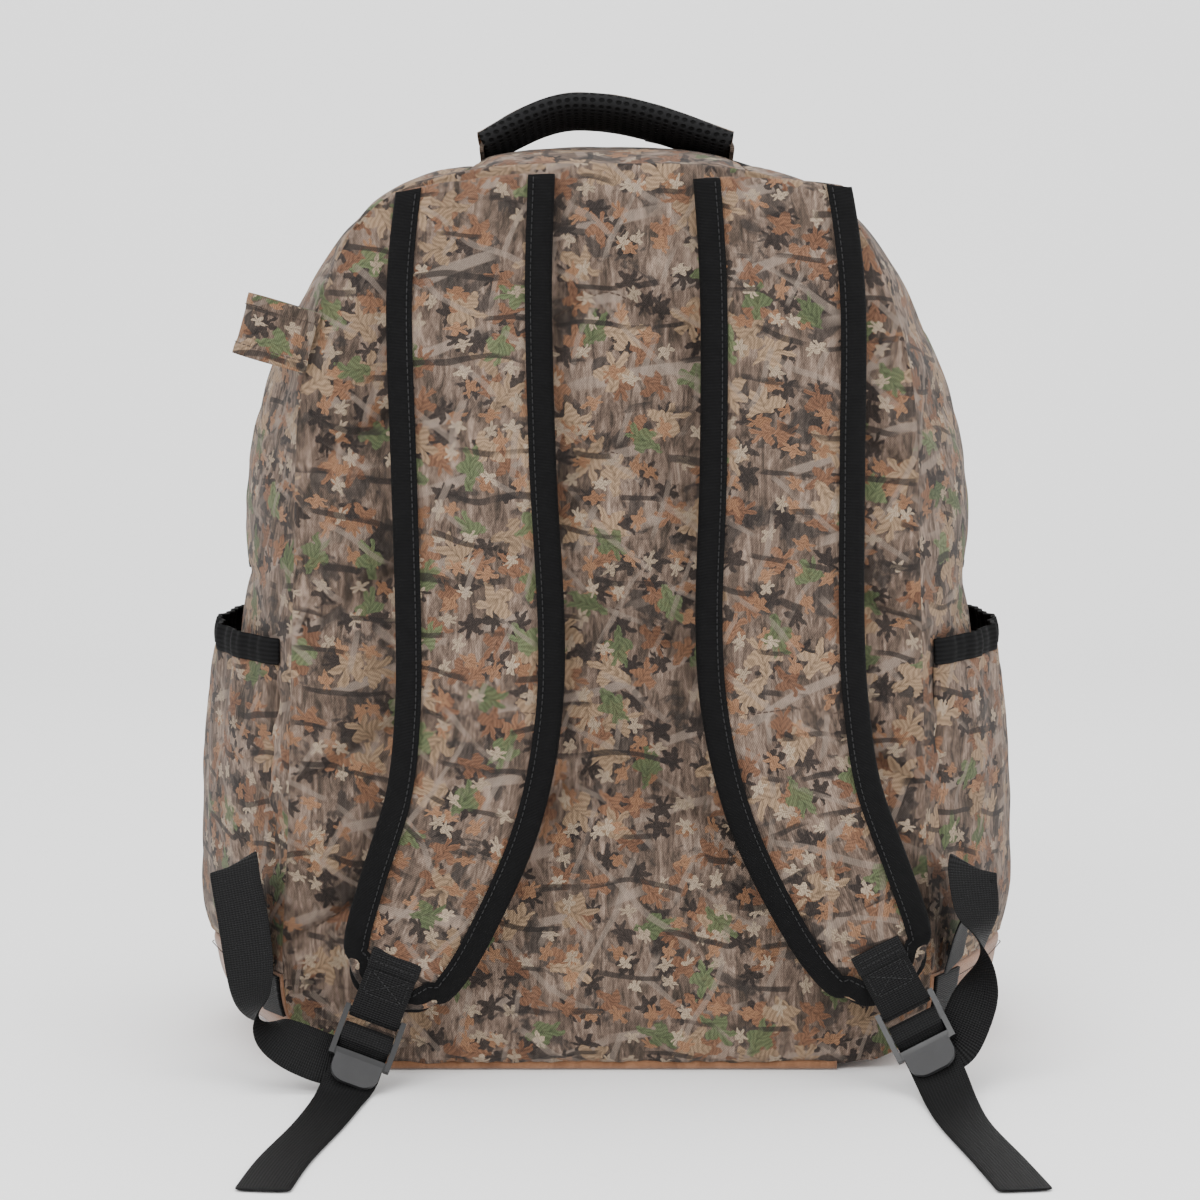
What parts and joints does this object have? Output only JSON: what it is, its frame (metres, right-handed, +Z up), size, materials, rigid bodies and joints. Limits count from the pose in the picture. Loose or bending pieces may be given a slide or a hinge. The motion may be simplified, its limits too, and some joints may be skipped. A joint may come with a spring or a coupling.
{
  "type": "tackle backpack",
  "caption": "Camouflage backpack with quilted back panel, padded shoulder straps, ladder-lock adjusters, side pockets, carry handle, rod loop and zipped front flap",
  "frame": {"origin": "on the floor under the middle of the body, on the flat base", "axes": "+Z up, +Y toward the front of the bag, the back panel and shoulder straps face -Y, +X is the wearer's right"},
  "size_m": [0.4256, 0.414, 0.4817],
  "materials": {
    "camo_twill": "printed polyester twill, matte",
    "base_suede": "brushed faux suede",
    "foam": "closed-cell foam",
    "spacer_mesh": "knitted spacer mesh",
    "webbing": "ribbed polypropylene webbing",
    "grosgrain": "grosgrain and elastic binding",
    "black_plastic": "moulded acetal, satin",
    "slider_metal": "black painted zinc",
    "lining": "plain woven lining"
  },
  "bodies": {
    "body": {"back_cover": "camo_twill", "back_foam": "foam", "back_lining": "lining", "top_strip": "camo_twill", "gusset_rear_left": "camo_twill", "gusset_rear_right": "camo_twill", "gusset_front_left": "camo_twill", "gusset_front_right": "camo_twill", "base_panel": "base_suede", "base_board": "black_plastic", "boot_left": "base_suede", "boot_right": "base_suede", "front_panel": "camo_twill", "side_pocket_left": "camo_twill", "side_pocket_right": "camo_twill", "pocket_elastic_left": "grosgrain", "pocket_elastic_right": "grosgrain", "front_pocket": "camo_twill", "front_pocket_zip": "black_plastic", "zip_tape_rear": "grosgrain", "zip_chain_rear": "black_plastic", "zip_stops": "black_plastic", "handle_cover": "camo_twill", "handle_core": "foam", "handle_mesh": "spacer_mesh", "rod_loop": "camo_twill", "web_anchor_left": "webbing", "web_anchor_right": "webbing", "adjuster_left": "webbing", "adjuster_right": "webbing"},
    "flap": {"flap_panel": "camo_twill", "flap_gusset": "camo_twill", "zip_tape_flap": "grosgrain", "zip_chain_flap": "black_plastic"},
    "slider_left": {"slider_left": "slider_metal"},
    "slider_right": {"slider_right": "slider_metal"},
    "pull_left": {"pull_left": "black_plastic"},
    "pull_right": {"pull_right": "black_plastic"},
    "front_pocket_slider": {"front_pocket_slider": "slider_metal"},
    "front_pocket_pull": {"front_pocket_pull": "black_plastic"},
    "strap_left": {"strap_cover_left": "camo_twill", "strap_foam_left": "foam", "strap_mesh_left": "spacer_mesh", "strap_binding_left": "grosgrain", "strap_tab_left": "webbing"},
    "strap_right": {"strap_cover_right": "camo_twill", "strap_foam_right": "foam", "strap_mesh_right": "spacer_mesh", "strap_binding_right": "grosgrain", "strap_tab_right": "webbing"},
    "buckle_left": {"buckle_left": "black_plastic"},
    "buckle_right": {"buckle_right": "black_plastic"}
  },
  "joints": [
    {"name": "flap_open", "type": "hinge", "parent": "body", "child": "flap", "pos_m": [0, 0.0925, 0.24], "axis": [-1, 0, 0], "range_deg": [0, 75]},
    {"name": "strap_left_swing", "type": "hinge", "parent": "body", "child": "strap_left", "pos_m": [-0.063, -0.0985, 0.444], "axis": [-1, 0, 0], "range_deg": [0, 30], "deforming": ["adjuster_left"]},
    {"name": "strap_right_swing", "type": "hinge", "parent": "body", "child": "strap_right", "pos_m": [0.079, -0.0985, 0.444], "axis": [-1, 0, 0], "range_deg": [0, 30], "deforming": ["adjuster_right"]},
    {"name": "buckle_left_tilt", "type": "hinge", "parent": "strap_left", "child": "buckle_left", "pos_m": [-0.1125, -0.12691, 0.034], "axis": [-0.9348, 0, 0.3551], "range_deg": [-8, 15]},
    {"name": "buckle_right_tilt", "type": "hinge", "parent": "strap_right", "child": "buckle_right", "pos_m": [0.1445, -0.12691, 0.0396], "axis": [-0.8862, 0, -0.4633], "range_deg": [-8, 15]},
    {"name": "slider_left_travel", "type": "hinge", "parent": "body", "child": "slider_left", "pos_m": [0, 0.01, 0.268], "axis": [0, -1, 0], "range_deg": [0, 105.5]},
    {"name": "slider_right_travel", "type": "hinge", "parent": "body", "child": "slider_right", "pos_m": [0, 0.01, 0.268], "axis": [0, 1, 0], "range_deg": [0, 76.5]},
    {"name": "pull_left_swing", "type": "hinge", "parent": "slider_left", "child": "pull_left", "pos_m": [0.0393, 0.01, 0.45614], "axis": [0, 1, 0], "range_deg": [0, 150]},
    {"name": "pull_right_swing", "type": "hinge", "parent": "slider_right", "child": "pull_right", "pos_m": [0.05907, 0.01, 0.4509], "axis": [0, -1, 0], "range_deg": [0, 150]},
    {"name": "front_pocket_slider_travel", "type": "slide", "parent": "body", "child": "front_pocket_slider", "axis": [-1, 0, 0], "range_m": [0, 0.17]},
    {"name": "front_pocket_pull_swing", "type": "hinge", "parent": "front_pocket_slider", "child": "front_pocket_pull", "pos_m": [0.084, 0.0999, 0.219], "axis": [0, 0, 1], "range_deg": [0, 150]}
  ]
}
